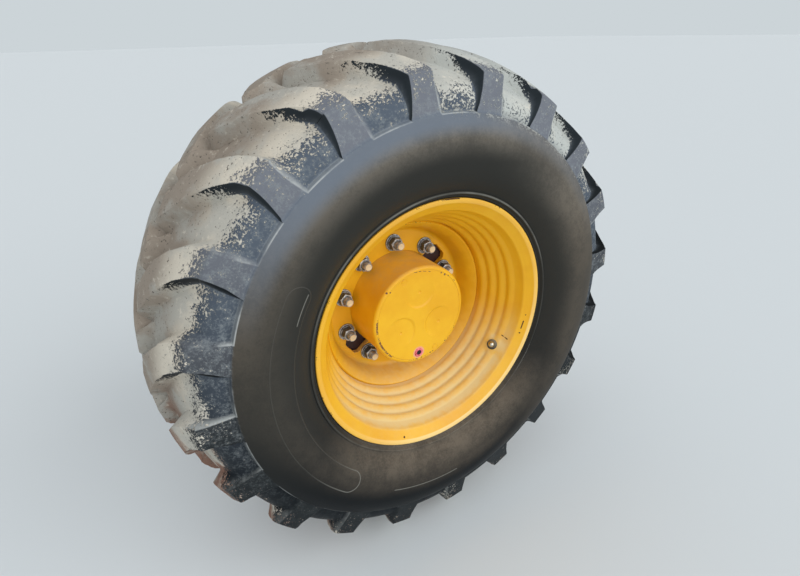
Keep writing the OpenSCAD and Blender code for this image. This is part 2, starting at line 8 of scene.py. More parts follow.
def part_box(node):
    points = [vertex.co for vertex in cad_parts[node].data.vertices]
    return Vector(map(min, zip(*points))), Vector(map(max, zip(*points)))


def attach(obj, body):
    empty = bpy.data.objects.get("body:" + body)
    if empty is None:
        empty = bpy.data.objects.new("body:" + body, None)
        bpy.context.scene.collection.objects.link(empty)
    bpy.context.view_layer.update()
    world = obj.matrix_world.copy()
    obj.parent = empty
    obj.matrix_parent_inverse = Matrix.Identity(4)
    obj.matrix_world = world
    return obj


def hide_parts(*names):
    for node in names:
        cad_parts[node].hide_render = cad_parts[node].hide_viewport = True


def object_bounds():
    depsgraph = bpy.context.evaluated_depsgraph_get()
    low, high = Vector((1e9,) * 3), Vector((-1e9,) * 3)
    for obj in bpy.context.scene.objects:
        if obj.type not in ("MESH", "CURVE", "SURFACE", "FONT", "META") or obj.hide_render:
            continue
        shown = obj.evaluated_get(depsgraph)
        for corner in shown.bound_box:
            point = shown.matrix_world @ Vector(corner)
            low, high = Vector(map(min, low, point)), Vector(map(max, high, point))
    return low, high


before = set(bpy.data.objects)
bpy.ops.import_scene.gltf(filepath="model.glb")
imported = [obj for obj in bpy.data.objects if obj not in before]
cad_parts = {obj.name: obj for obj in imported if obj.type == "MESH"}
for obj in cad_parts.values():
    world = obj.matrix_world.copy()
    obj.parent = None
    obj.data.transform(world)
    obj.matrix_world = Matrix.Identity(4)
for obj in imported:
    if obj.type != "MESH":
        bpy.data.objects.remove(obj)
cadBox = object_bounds()

# Rear wheel of a loader, with its hub and the axle arm that carries it.
# Profiles are lists of (radius, reach) in mm; reach is the distance out from the arm's bolting face,
# towards -Y. Angles start at +X and grow towards +Z, as seen from the wheel's outer side.
mm = 0.001
onAxle = Matrix.Rotation(math.radians(90), 4, "X")


def hexLinear(code):
    values = [int(code[i:i + 2], 16) / 255 for i in (1, 3, 5)]
    return [v / 12.92 if v < 0.04045 else ((v + 0.055) / 1.055) ** 2.4 for v in values] + [1.0]


# Shape helpers

def arcPoints(start, end, rise, count):
    # An arc from start to end that bows out by rise to the right of that line
    a, b = Vector(start), Vector(end)
    chord = (b - a).length
    side = -1 if rise < 0 else 1
    radius = (chord * chord / 4 + rise * rise) / (2 * abs(rise))
    right = Vector((b.y - a.y, a.x - b.x)) / chord
    centre = (a + b) / 2 + right * (rise - side * radius)
    sweep = side * 2 * math.asin(min(1, chord / 2 / radius))
    arm = a - centre
    turned = []
    for i in range(count + 1):
        t = sweep * i / count
        turned.append((centre.x + arm.x * math.cos(t) - arm.y * math.sin(t),
                       centre.y + arm.x * math.sin(t) + arm.y * math.cos(t)))
    return turned


def quarterPoints(start, end, count):
    # A quarter circle whose ends lie on a diagonal, bowing out to the right
    return arcPoints(start, end, abs(end[0] - start[0]) * (1 - math.cos(math.radians(45))), count)


def arcFall(distance, chord, rise):
    # Height lost at a distance from the top of an arc
    radius = (chord * chord / 4 + rise * rise) / (2 * rise)
    return radius - math.sqrt(radius * radius - distance * distance)


def smoothStep(low, high, value):
    t = min(1, max(0, (value - low) / (high - low)))
    return t * t * (3 - 2 * t)


def revolve(points, steps, closed=True, place=onAxle):
    # Spins a profile; each vertex keeps the number of its profile point in the layer "row"
    bm = bmesh.new()
    row = bm.verts.layers.int.new("row")
    verts = []
    for i, (radius, reach) in enumerate(points):
        vert = bm.verts.new((radius * mm, 0, reach * mm))
        vert[row] = i
        verts.append(vert)
    pairs = list(zip(verts, verts[1:])) + ([(verts[-1], verts[0])] if closed else [])
    edges = [bm.edges.new(pair) for pair in pairs]
    bmesh.ops.spin(bm, geom=verts + edges, cent=(0, 0, 0), axis=(0, 0, 1),
                   angle=math.tau, steps=steps, use_merge=True)
    bmesh.ops.remove_doubles(bm, verts=bm.verts, dist=1e-7)
    bmesh.ops.recalc_face_normals(bm, faces=bm.faces)
    bmesh.ops.transform(bm, matrix=place, verts=bm.verts)
    return bm


def axlePlace(turn, radius, reach, tilt=0):
    # A place on the wheel whose Z points out along the axle, leaned over by tilt towards the wheel's rim
    return (onAxle @ Matrix.Rotation(math.radians(turn), 4, "Z")
            @ Matrix.Translation(Vector((radius, 0, reach)) * mm)
            @ Matrix.Rotation(math.radians(tilt), 4, "Y"))


def repeated(single, places):
    one = bpy.data.meshes.new("one")
    single.to_mesh(one)
    single.free()
    bm = bmesh.new()
    for place in places:
        copy = one.copy()
        copy.transform(place)
        bm.from_mesh(copy)
        bpy.data.meshes.remove(copy)
    bpy.data.meshes.remove(one)
    return bm


def softenedCopy(node, bevel, corner=30):
    # A copy of a CAD node with its triangles joined into faces and its edges rounded
    bm = bmesh.new()
    bm.from_mesh(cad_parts[node].data)
    bmesh.ops.remove_doubles(bm, verts=bm.verts, dist=1e-6)
    bmesh.ops.dissolve_limit(bm, angle_limit=math.radians(1), verts=bm.verts, edges=bm.edges)
    edges = [e for e in bm.edges if e.is_manifold and e.calc_face_angle(0) > math.radians(corner)]
    bmesh.ops.bevel(bm, geom=edges, offset=bevel * mm, offset_type="OFFSET", segments=2, profile=0.5,
                    affect="EDGES", material=-1, clamp_overlap=True)
    return bm


def addPiece(name, bm, material, body, replaced, corner=40, weighted=False):
    mesh = bpy.data.meshes.new(name)
    bm.to_mesh(mesh)
    bm.free()
    mesh.materials.append(material)
    mesh.shade_smooth()
    mesh.set_sharp_from_angle(angle=math.radians(corner))
    piece = bpy.data.objects.new(name, mesh)
    bpy.context.scene.collection.objects.link(piece)
    if weighted:
        piece.modifiers.new("faceWeights", "WEIGHTED_NORMAL").keep_sharp = True
    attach(piece, body)
    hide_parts(*replaced)


# Material helpers

# Ranges run smoothly from their first value to their last, and a mix blends two colours
usualSettings = {"MapRange": {"interpolation_type": "SMOOTHSTEP"}, "Mix": {"data_type": "RGBA"}}


def feed(socket, value):
    # A socket takes a number, a vector, an sRGB code, another socket, or a node's first live output
    if isinstance(value, bpy.types.Node):
        value = next(output for output in value.outputs if output.enabled)
    if isinstance(value, bpy.types.NodeSocket):
        socket.id_data.links.new(value, socket)
    else:
        socket.default_value = hexLinear(value) if isinstance(value, str) else value


def addNode(tree, kind, *values, **settings):
    # The kind may carry its operation after a dot; the values go to the node's live inputs in their order
    kind, dot, operation = kind.partition(".")
    node = tree.nodes.new("ShaderNode" + kind)
    if dot:
        node.operation = operation
    for name, value in {**usualSettings.get(kind, {}), **settings}.items():
        setattr(node, name, value)
    for socket, value in zip([socket for socket in node.inputs if socket.enabled], values):
        feed(socket, value)
    return node


def finish(material, sockets):
    # Sets or links the shader's own sockets
    shader = material.node_tree.nodes["Principled BSDF"]
    for name, value in sockets.items():
        feed(shader.inputs[name], value)


def newMaterial(name, sockets):
    material = bpy.data.materials.new(name)
    material.use_nodes = True
    finish(material, sockets)
    return material


def lengthXZ(add, x, z):
    return add("Math.SQRT", add("Math.ADD", add("Math.MULTIPLY", x, x), add("Math.MULTIPLY", z, z)))


# Camera, floor and light, at the photograph's viewing angle
cameraSettings = {
    "place": (-0.67236, -1.74333, 0.66988), "yaw": 31.36, "pitch": 25.94, "roll": 1.27,
    "lens": 23.73, "sensor": 36,
}
camera = bpy.data.objects.new("camera", bpy.data.cameras.new("camera"))
camera.data.lens = cameraSettings["lens"]
camera.data.sensor_width = cameraSettings["sensor"]
camera.matrix_world = (Matrix.Translation(cameraSettings["place"])
                       @ Matrix.Rotation(math.radians(-cameraSettings["yaw"]), 4, "Z")
                       @ Matrix.Rotation(math.radians(90 - cameraSettings["pitch"]), 4, "X")
                       @ Matrix.Rotation(math.radians(-cameraSettings["roll"]), 4, "Z"))
bpy.context.scene.collection.objects.link(camera)
bpy.context.scene.camera = camera
bpy.context.scene.view_settings.view_transform = "Standard"

# Smooth pale concrete: matt, without a grain that would show
floorSettings = {"size": 160, "drop": 1.0, "colour": "#d7dddf", "roughness": 0.9}
floorShape = bmesh.new()
bmesh.ops.create_grid(floorShape, x_segments=1, y_segments=1, size=floorSettings["size"] / 2)
floorMesh = bpy.data.meshes.new("floor")
floorShape.to_mesh(floorMesh)
floorShape.free()
floorMesh.materials.append(newMaterial("smoothPaleConcrete", {
    "Base Color": floorSettings["colour"], "Roughness": floorSettings["roughness"],
}))
floor = bpy.data.objects.new("floor", floorMesh)
floor.location.z = cadBox[0][2] - floorSettings["drop"] * mm
bpy.context.scene.collection.objects.link(floor)

# Soft light: each lamp is a wide patch of sky without an edge, so the floor is evenly lit as far as it goes
lightSettings = {
    "world": ("#e9edf2", 0.56), "backdrop": "#ccd4d8",
    "lamps": {
        "key": {"from": (0.5, -0.7, 0.5), "spread": 50, "strength": 1.15},
        "front": {"from": (-0.1, -0.98, 0.1), "spread": 60, "strength": 1.3},
        "sky": {"from": (-0.45, -0.2, 0.87), "spread": 80, "strength": 0.75},
    },
}
# The eye and bright metal see a backdrop of the floor's own tone
world = bpy.data.worlds.new("studio")
world.use_nodes = True
add = partial(addNode, world.node_tree)
light = world.node_tree.nodes["Background"]
feed(light.inputs["Color"], lightSettings["world"][0])
feed(light.inputs["Strength"], lightSettings["world"][1])
rays = add("LightPath").outputs
seen = add("Math.MAXIMUM", rays["Is Camera Ray"], rays["Is Glossy Ray"])
seen = add("Math.MAXIMUM", seen, rays["Is Transmission Ray"])
sky = add("MixShader", seen, light, add("Background", lightSettings["backdrop"]))
feed(world.node_tree.nodes["World Output"].inputs["Surface"], sky)
bpy.context.scene.world = world
for name, part in lightSettings["lamps"].items():
    lamp = bpy.data.objects.new(name, bpy.data.lights.new(name, "SUN"))
    lamp.data.angle = math.radians(part["spread"])
    lamp.data.energy = part["strength"]
    lamp.matrix_world = (-Vector(part["from"])).to_track_quat("-Z", "Y").to_matrix().to_4x4()
    bpy.context.scene.collection.objects.link(lamp)
print("camera, floor and light ready")


# Tyre: a spun carcass whose columns are moved on to the lugs. It needs the rim's sizes for its beads
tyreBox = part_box("tyre")
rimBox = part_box("rim")
rimMid = -(rimBox[0].y + rimBox[1].y) / 2 / mm
tyreRadius = tyreBox[1].x / mm + 0.35
tyreWidth = (tyreBox[1].y - tyreBox[0].y) / mm - 1.5
rimSettings = {
    "radius": rimBox[1].x / mm, "half": (rimBox[1].y - rimBox[0].y) / 2 / mm, "beadHalf": 203.2, "heel": 12,
    "seat": 304.8, "seatWidth": 31.7, "seatFall": 3.8, "wall": 8, "well": 250, "wellHalf": 71,
    "waveHeight": 4.5, "waves": 4, "waveFullness": 0.7, "curl": 13, "lip": 5, "steps": 320,
}
tyreSettings = {
    "lugs": 20, "firstLug": 5.7, "sweep": 15.5, "columns": 36,
    "treadHalf": 221, "treadDrop": 53, "lugHeight": 33,
    "floorHalf": 185, "floorDrop": 40, "pocketBow": 13, "pocketEnd": (524, 229), "pocketSteps": 40,
    "lugEnd": (521.6, 237.2), "edge": (518.8, 240.6), "guard": (350, 221),
    "topHalf": 30, "noseTopHalf": 20, "footHalfWidth": 52, "noseFootHalfWidth": 34, "footLimit": 5.2,
    "noseSlope": 16, "wear": 2.0, "chip": 7, "wander": 0.4, "rounding": 1.6, "roundFrom": 5,
    "crown": (3, 10, 18, 28, 40, 55, 73, 93, 114, 135, 155, 173, 189, 201, 210),
    "faceShares": (0.18, 0.36, 0.54, 0.72, 0.88, 1),
    "topShares": (0, 0.3, 0.58, 0.82, 0.95, 1),
    "flankShares": (0.07, 0.68, 0.86, 1), "flankHeights": (0.955, 0.22, 0.06, 0),
    "flankShade": {-1: 0.35, 0: 0.9, 1: 0.6, 2: 0.15}, "lowerSpread": 1.15, "upperSpread": 0.5,
    "liningInset": 26, "liningHalf": 243, "gap": 0.3,
}


def flangeCurve(rim, gap, count):
    return (arcPoints((rim["radius"] + gap, rim["half"] - rim["lip"] - gap),
                      (rim["radius"] - rim["curl"] + gap, rim["beadHalf"] - gap), -2, count)
            + quarterPoints((rim["seat"] + rim["heel"], rim["beadHalf"] - gap),
                            (rim["seat"] + gap, rim["beadHalf"] - rim["heel"]), count))


def tyreRows(s, rim, radius, width):
    # Rows of the outer half, from the tread's middle to the bead. Each has its point on the floor between
    # the lugs, its point on a lug's top, its share along the lug's end, and how strong a painted highlight
    # lies along its edge
    floorTop = radius - s["lugHeight"]
    rows = []
    for a in s["crown"]:
        inner = a * (1 - (1 - s["floorHalf"] / s["treadHalf"]) * (a / s["treadHalf"]) ** 2)
        low = (floorTop - arcFall(inner, 2 * s["floorHalf"], s["floorDrop"]), inner)
        rows.append((low, (radius - arcFall(a, 2 * s["treadHalf"], s["treadDrop"]), a), 0, 0))
    corner = Vector((radius - s["treadDrop"], s["treadHalf"]))
    lugEnd = Vector(s["lugEnd"])
    down = (lugEnd - corner).normalized()
    under = arcPoints((floorTop - s["floorDrop"], s["floorHalf"]), s["pocketEnd"], s["pocketBow"],
                      s["pocketSteps"])
    before = s["treadHalf"] - s["roundFrom"]
    rounded = arcPoints((radius - arcFall(before, 2 * s["treadHalf"], s["treadDrop"]), before),
                        corner + down * s["roundFrom"], s["rounding"], 3)
    for i, top in enumerate(rounded):
        rows.append((under[i], top, 0.02 * i, 0))
    for v in s["faceShares"]:
        rows.append((under[round(3 + 37 * v)], tuple(corner.lerp(lugEnd, 0.06 + 0.94 * v)), v, 0))
    # The ledge between the lugs' ends and the sidewall, with a painted highlight along its edge
    end, edge = s["pocketEnd"], s["edge"]
    after = (edge[0] - 1.4, edge[1] + 0.95)
    rows += [((end[0] - 2.2, end[1] + 1.4), (edge[0] + 2.1, edge[1] - 2.3), 1, 0.3),
             ((edge[0] + 1.6, edge[1] - 2), (edge[0] + 1.4, edge[1] - 1.1), 1, 0.3),
             (edge, edge, 1, 1), (after, after, 1, 0)]
    # The sidewall, the rib that guards the rim, and the bead on its seat
    guard = s["guard"]
    side = arcPoints(edge, guard, width / 2 - (edge[1] + guard[1]) / 2, 15)[1:-1]
    rib = [(-0.4, 0.6), (-1.7, 2.3), (-4.2, 3.2), (-6.6, 2.2), (-8.2, -0.6), (-10.6, -4.6)]
    rib = [(guard[0] + r, guard[1] + a) for r, a in rib]
    bead = [(rim["radius"] + rim["lip"] - 1, rim["half"] - 1)] + flangeCurve(rim, s["gap"], 3)
    bead += [(rim["seat"] + s["gap"], rim["beadHalf"] - 36)]
    return rows + [(point, point, 1, 0) for point in side + rib + bead]


def tyreLining(s, rim, radius):
    edge = (radius - s["lugHeight"] - s["floorDrop"] - s["liningInset"], s["floorHalf"])
    low = (rim["radius"] + rim["curl"], rim["beadHalf"] - 18)
    crown = arcPoints((edge[0], -edge[1]), edge, s["floorDrop"], 6)
    wall = arcPoints(low, edge, (edge[1] + low[1]) / 2 - s["liningHalf"], 4)
    bead = (rim["seat"] + rim["curl"], rim["beadHalf"] - 36)
    return [bead] + wall + [point for point in crown[::-1] if point[1] > 1][1:]


def lugSection(s, a, radius):
    # Sweep angle, half angles of a lug's top and foot, and its heading, at a distance from the middle
    u = max(0, 1 - a / s["treadHalf"])
    run = radius * math.radians(s["sweep"])
    heading = math.atan(1.5 * run * math.sqrt(u) / s["treadHalf"])
    late = smoothStep(0.72, 1, u)
    top = (s["topHalf"] + (s["noseTopHalf"] - s["topHalf"]) * late) / math.cos(heading)
    foot = (s["footHalfWidth"] + (s["noseFootHalfWidth"] - s["footHalfWidth"]) * u) / math.cos(heading)
    return s["sweep"] * u ** 1.5, math.degrees(top / radius), math.degrees(foot / radius), heading


def buildTyre(s, rim, radius, width):
    half = tyreRows(s, rim, radius, width) + [(point, point, 1, 0) for point in tyreLining(s, rim, radius)]
    rows = half + [((f[0], -f[1]), (t[0], -t[1]), along, pale) for f, t, along, pale in reversed(half)]
    columns = s["lugs"] * s["columns"]
    bm = revolve([(f[0], f[1] + rimMid) for f, t, along, pale in rows], columns)
    row = bm.verts.layers.int["row"]
    height = bm.verts.layers.float.new("lugHeight")
    flank = bm.verts.layers.float.new("flank")
    wornEdgeAndHighlight = bm.verts.layers.float.new("paleEdge")
    pitch = 360 / s["lugs"]
    zone = pitch / 4
    stops = s["columns"] // 4
    tops = len(s["topShares"])
    for vert in bm.verts:
        (fr, fa), (tr, ta), along, pale = rows[vert[row]]
        a = abs(ta)
        onTread = (fr, fa) != (tr, ta)
        # Columns run across two lanes, the first for the outer lugs and the second for the inner ones
        column = round(math.degrees(math.atan2(vert.co.z, vert.co.x)) / 360 * columns) % columns
        number, c = divmod(column, s["columns"])
        lane = 0 if c <= 2 * stops else 1
        j = c - stops if lane == 0 else c - 3 * stops
        isLug = (lane == 0) == (ta > 0)
        t = abs(j)
        side = 1 if j >= 0 else -1
        turn, top, foot, heading = lugSection(s, a, radius)
        foot = min(foot, zone if a < 30 else s["footLimit"])
        foot += (zone - foot) * (1 - smoothStep(0, 45, a))
        if along > 0:
            top += (foot - 0.45 - top) * along ** 1.8 * (s["lowerSpread"] if side > 0 else s["upperSpread"])
        lugStop = top * s["topShares"][t] if t < tops else top + (foot - top) * s["flankShares"][t - tops]
        even = (2 * zone - foot) * t / stops
        near = smoothStep(4, 50, a)
        offset = side * (lugStop if isLug else lugStop * (1 - near) + even * near)
        tall = 0
        if onTread and (isLug or a <= 40):
            tall = 1 if t < tops else s["flankHeights"][t - tops]
            signed = a if isLug else -a
            end = math.radians(offset) * radius * math.sin(heading) * math.cos(heading)
            tall *= smoothStep(-s["noseSlope"], s["noseSlope"] * 0.35, signed - end * 0.55 + 3)
        angle = s["firstLug"] + pitch * number + (0 if lane == 0 else pitch / 2) + turn + offset
        r = fr + (tr - fr) * tall
        reach = fa + (ta - fa) * tall
        if isLug and onTread and tops - 2 <= t <= tops + 2:
            # Worn edges wander a few millimetres to and fro
            around = Vector((math.cos(math.radians(angle)), math.sin(math.radians(angle)), reach / radius))
            angle += s["wander"] * noise.noise(around * radius / 38) * (1 - along ** 6)
        if tall > 0.05 and along < 0.9:
            # Tops wear down in hollows, and their edges lose chips
            spot = Vector((r * math.cos(math.radians(angle)), reach, r * math.sin(math.radians(angle))))
            wear = noise.noise(spot / 70) * s["wear"] + noise.noise(spot / 22) * 0.5
            r -= tall * max(0, wear + 0.6)
            chipped = noise.noise(spot / 13 + Vector((9, 0, 0)))
            if t in (tops - 1, tops) and chipped > 0.2:
                r -= s["chip"] * (chipped - 0.2) * 2.4
        place = math.radians(angle)
        vert.co = Vector((r * math.cos(place), -(reach + rimMid), r * math.sin(place))) * mm
        vert[height] = tall
        vert[wornEdgeAndHighlight] = 0 if isLug and t < tops else pale
        # One flank of each lug is painted dark as the shade under it; the same mark keeps mud off that
        # flank
        if isLug and onTread and a > 60:
            vert[flank] = side * s["flankShade"].get(t - tops, 0)
            # The lit edge of each lug's top gets a pale line, partly rubbed and partly a painted highlight
            if side < 0 and t in (tops - 1, tops):
                vert[wornEdgeAndHighlight] = 0.5 if t < tops else 0.95
    bmesh.ops.recalc_face_normals(bm, faces=bm.faces)
    return bm


# Tyre rubber: black and moulded smooth. Dust lies where the side faces up, and mud dries on the tread and
# breaks off the lugs' flanks. Sizes of patterns are in mm, and ranges of place are in metres
# Some of these colours are painted light: shade low down and under the lugs, a sheen, a sky reflection,
# highlights on edges and on the rib, and shaded mud
rubberSettings = {
    "endShadeLow": "#1f2325", "endSheenHigh": "#6d7179", "pocketShadeLow": "#12171b", "pocketSkyReflection": "#525b66",
    "film": "#68717c", "sideShadeLow": "#0b0f12", "side": "#2d2d2a", "dust": "#675f54", "paleDust": "#7d776d",
    "flankShadeLow": "#0c0f11", "flankShadeHigh": "#262c30", "wornEdgeAndHighlight": "#b4b8b6", "paleLineAndHighlight": "#9a9a92",
    "shadedMud": "#958b7f", "mud": "#cdc6b7", "greyMud": "#acaca5", "blueMud": "#b4bbb9", "clay": "#8a6c5e",
    "paleMud": "#ddd6c7", "shadow": "#5a554e", "smudge": "#8d9496",
    "patchSize": 120, "clodSize": 20, "gritSize": 5, "guardCrest": 346,
    "bellyRadii": (0.375, 0.445), "sheenRadii": (0.468, 0.505), "shoulderRadii": (0.518, 0.521),
    "mudHalf": 0.182, "mudOnLugs": 0.018, "mudHighUp": 0.016, "mudUpperRight": 0.04, "mudOffFlanks": -0.085,
    # The last arc is a painted highlight along the top of the rib
    "arcs": ((150.5, 226.5, 424, 27.5, 0.6), (247, 274, 438, 0, 0.4),
             (148.5, 158, 407, 0, 0.45), (321, 335, 348, 0, 0.6)),
}


def mouldedRubber(s):
    material = newMaterial("mouldedRubberWithDriedMud", {"Specular IOR Level": 0.1})
    add = partial(addNode, material.node_tree)
    coords = add("TexCoord").outputs["Object"]
    up = add("SeparateXYZ", add("TexCoord").outputs["Normal"]).outputs["Z"]
    x, y, z = add("SeparateXYZ", coords).outputs
    radius = lengthXZ(add, x, z)
    across = add("Math.ABSOLUTE", add("Math.ADD", y, rimMid * mm))
    height, flank, paleEdge = (add("Attribute", attribute_name=name).outputs["Fac"]
                               for name in ("lugHeight", "flank", "paleEdge"))
    patches = add("TexNoise", coords, 1000 / s["patchSize"], 5, 0.6)
    clods = add("TexNoise", coords, 1000 / s["clodSize"], 6, 0.75)
    grit = add("TexNoise", coords, 1000 / s["gritSize"], 3, 0.7)
    # The shoulder: painted shade low down, with a painted grey sheen high on the lugs' ends and a painted
    # blue sky reflection high between them
    lugEnd = add("Mix", add("MapRange", z, -0.15, 0.5), s["endShadeLow"], s["endSheenHigh"])
    pocket = add("Mix", add("MapRange", z, -0.3, 0.42), s["pocketShadeLow"], s["pocketSkyReflection"])
    shoulder = add("Mix", height, pocket, lugEnd)
    # Dust on the sidewall: where it faces up, on the right, and low down near the rim
    belly = add("MapRange", radius, *s["bellyRadii"], 0.12, 1)
    settled = add("Math.MULTIPLY", add("MapRange", up, -0.2, 0.5), belly)
    rightSide = add("Math.MULTIPLY", belly, add("MapRange", z, 0.0, 0.35, 0.45, 0.95))
    rightSide = add("Math.MULTIPLY", add("MapRange", x, 0.1, 0.45), rightSide)
    settled = add("Math.MAXIMUM", settled, rightSide)
    low = add("Math.MULTIPLY", add("MapRange", z, -0.12, -0.34), add("MapRange", radius, 0.46, 0.36))
    settled = add("Math.MAXIMUM", settled, low)
    cloudy = add("Math.MULTIPLY_ADD", grit, 0.3, add("Math.MULTIPLY_ADD", clods, 0.6, patches))
    dust = add("Math.MULTIPLY", settled, add("MapRange", cloudy, 0.7, 1.15, 0.5, 1))
    dustTone = add("Mix", add("MapRange", z, 0.05, 0.5), s["dust"], s["paleDust"])
    # The sidewall is painted darker low down as shade
    side = add("Mix", add("MapRange", z, -0.4, 0.1), s["sideShadeLow"], s["side"])
    side = add("Mix", dust, side, dustTone)
    # The top of the rib above the rim takes a painted highlight, stronger higher up
    paleLineAndHighlight = add("Math.ABSOLUTE", add("Math.SUBTRACT", radius, s["guardCrest"] * mm))
    paleLineAndHighlight = add("Math.MULTIPLY", add("MapRange", paleLineAndHighlight, 0.0028, 0.0010),
                add("MapRange", patches, 0.35, 0.6, 0.3, 1))
    paleLineAndHighlight = add("Math.MULTIPLY", paleLineAndHighlight, add("MapRange", z, 0.0, 0.3, 0.08, 0.42))
    side = add("Mix", paleLineAndHighlight, side, s["paleLineAndHighlight"])
    # A raised panel with round ends, and thin arcs that are moulded or scratched into the side; the last
    # arc is a painted highlight along the top of the rib. Each has its first and last angle, its radius,
    # its half width and how pale its line is
    turnBack = add("Math.ARCTAN2", add("Math.MULTIPLY", z, -1), add("Math.MULTIPLY", x, -1))
    marks, plate = 0.0, 0.0
    for first, last, ring, halfWidth, pale in s["arcs"]:
        turn = add("Math.MAXIMUM", turnBack, math.radians(first - 180))
        turn = add("Math.MINIMUM", turn, math.radians(last - 180))
        nearX = add("Math.MULTIPLY", add("Math.COSINE", turn), -ring * mm)
        nearZ = add("Math.MULTIPLY", add("Math.SINE", turn), -ring * mm)
        away = lengthXZ(add, add("Math.SUBTRACT", x, nearX), add("Math.SUBTRACT", z, nearZ))
        outside = add("Math.SUBTRACT", away, halfWidth * mm)
        line = add("MapRange", add("Math.ABSOLUTE", outside), 0.002, 0.0006)
        marks = add("Math.MAXIMUM", marks, line)
        if halfWidth:
            plate = add("Math.ADD", plate, add("MapRange", outside, 0.001, -0.001, 0, 0.8))
            line = add("Math.MULTIPLY", line, add("MapRange", z, -0.22, -0.38, 0.12, 1))
        side = add("Mix", add("Math.MULTIPLY", line, pale), side, s["paleLineAndHighlight"])
    bare = add("Mix", add("MapRange", radius, *s["shoulderRadii"]), side, shoulder)
    # A painted blue sheen on the upper sidewall, pale smudges on the shoulder, painted shade on the lugs'
    # flanks, and pale edges that are partly rubbed and partly a painted highlight
    # The film is a painted sheen, strongest at the upper left
    film = add("Math.MULTIPLY", add("MapRange", radius, *s["sheenRadii"]),
               add("MapRange", radius, 0.53, 0.519))
    film = add("Math.MULTIPLY", film, add("MapRange", x, 0.3, 0.0, 0.35, 1))
    film = add("Math.MULTIPLY", film, add("MapRange", z, 0.12, 0.42, 0, 0.9))
    bare = add("Mix", film, bare, s["film"])
    smudges = add("MapRange", add("Math.MULTIPLY_ADD", grit, 0.4, clods), 0.62, 0.9, 0, 0.5)
    smudges = add("Math.MULTIPLY", smudges, add("MapRange", radius, 0.515, 0.525))
    smudges = add("Math.MULTIPLY", smudges, add("MapRange", z, -0.35, 0.15, 0.12, 1))
    bare = add("Mix", smudges, bare, s["smudge"])
    # The lugs' flanks are painted dark as shade, lighter higher up
    flankShadeTone = add("Mix", add("MapRange", z, 0.1, 0.5), s["flankShadeLow"], s["flankShadeHigh"])
    bare = add("Mix", add("MapRange", flank, 0.25, 0.8), bare, flankShadeTone)
    # Pale edges, partly rubbed and partly a painted highlight, stronger higher up
    wornEdgeAndHighlight = add("Math.MULTIPLY", paleEdge, add("MapRange", patches, 0.38, 0.6))
    wornEdgeAndHighlight = add("Math.MULTIPLY", wornEdgeAndHighlight, add("MapRange", z, -0.5, 0.1, 0.25, 0.9))
    bare = add("Mix", wornEdgeAndHighlight, bare, s["wornEdgeAndHighlight"])
    # The mud ends at a distance from the tread's middle, further out on the lugs and high up between them,
    # and as far as the side at the upper right
    limit = add("Math.MULTIPLY_ADD", height, s["mudOnLugs"], s["mudHalf"])
    between = add("Math.SUBTRACT", 1.0, height)
    highUp = add("Math.MULTIPLY", add("MapRange", z, 0.1, 0.4), between)
    limit = add("Math.MULTIPLY_ADD", highUp, s["mudHighUp"], limit)
    upperRight = add("Math.MULTIPLY", add("MapRange", x, -0.12, 0.15), add("MapRange", z, 0.15, 0.4))
    limit = add("Math.MULTIPLY_ADD", add("Math.MULTIPLY", upperRight, between), s["mudUpperRight"], limit)
    limit = add("Math.SUBTRACT", limit, across)
    limit = add("Math.MULTIPLY_ADD", add("Math.MAXIMUM", flank, 0.0), s["mudOffFlanks"], limit)
    for pattern, share in ((patches, 0.1), (clods, 0.1), (grit, 0.13)):
        limit = add("Math.MULTIPLY_ADD", pattern, share, limit)
    mud = add("Math.MULTIPLY", add("MapRange", limit, 0.158, 0.168), add("MapRange", radius, 0.5, 0.54))
    # The mud is painted darker towards the tread's middle, as shade
    tone = add("Mix", add("MapRange", across, 0.08, 0.17), s["shadedMud"], s["mud"])
    tone = add("Mix", add("MapRange", patches, 0.45, 0.62, 0, 0.7), tone, s["greyMud"])
    tone = add("Mix", add("Math.MULTIPLY", upperRight, 0.7), tone, s["blueMud"])
    clay = add("Math.MULTIPLY", add("MapRange", z, 0.04, -0.2), add("MapRange", patches, 0.58, 0.46))
    tone = add("Mix", clay, tone, s["clay"])
    tone = add("Mix", add("MapRange", clods, 0.56, 0.72, 0, 0.6), tone, s["paleMud"])
    tone = add("Mix", add("MapRange", add("Math.ADD", clods, grit), 0.82, 0.7), tone, s["shadow"])
    # Relief in mm: lumps of mud, the grain of the rubber, and the panel and arcs
    lumps = add("Math.MULTIPLY_ADD", add("Math.MULTIPLY", mud, clods), 3.0, add("Math.MULTIPLY", mud, 1.2))
    moulding = add("Math.MULTIPLY", add("Math.ADD", marks, plate), 1.1)
    bump = add("Bump", 0.8, 1 * mm)
    feed(bump.inputs["Height"], add("Math.ADD", lumps, add("Math.MULTIPLY_ADD", grit, 0.25, moulding)))
    finish(material, {
        "Base Color": add("Mix", mud, bare, tone),
        "Roughness": add("MapRange", add("Math.MAXIMUM", mud, dust), 0, 0.8, 0.5, 0.92),
        "Normal": bump,
    })
    return material


addPiece("tyreCarcassAndLugs", buildTyre(tyreSettings, rimSettings, tyreRadius, tyreWidth),
         mouldedRubber(rubberSettings), "wheel", ["tyre"], corner=24)
print("tyre ready")


# Rim: a rolled section with waves on both slopes and a flat pad under the valve
valveSettings = {
    "turn": -33.5, "reach": 153, "padRadius": 20, "padBlend": 9, "stem": 7.5, "stemDepth": 8,
    "seatRadius": 15, "seatHeight": 4, "domeRadius": 9, "collarRadius": 11.5,
}
slopeHalf = rimSettings["beadHalf"] - rimSettings["seatWidth"]
slopeIn = rimSettings["seat"] - rimSettings["wall"] - rimSettings["seatFall"]
wellIn = rimSettings["well"] - rimSettings["wall"]
slopeRise = (slopeIn - wellIn) / (slopeHalf - rimSettings["wellHalf"])
slopeAngle = math.degrees(math.atan(slopeRise))
valveRadius = wellIn + slopeRise * (valveSettings["reach"] - rimSettings["wellHalf"])
valvePlace = axlePlace(valveSettings["turn"], valveRadius, rimMid + valveSettings["reach"], slopeAngle - 90)


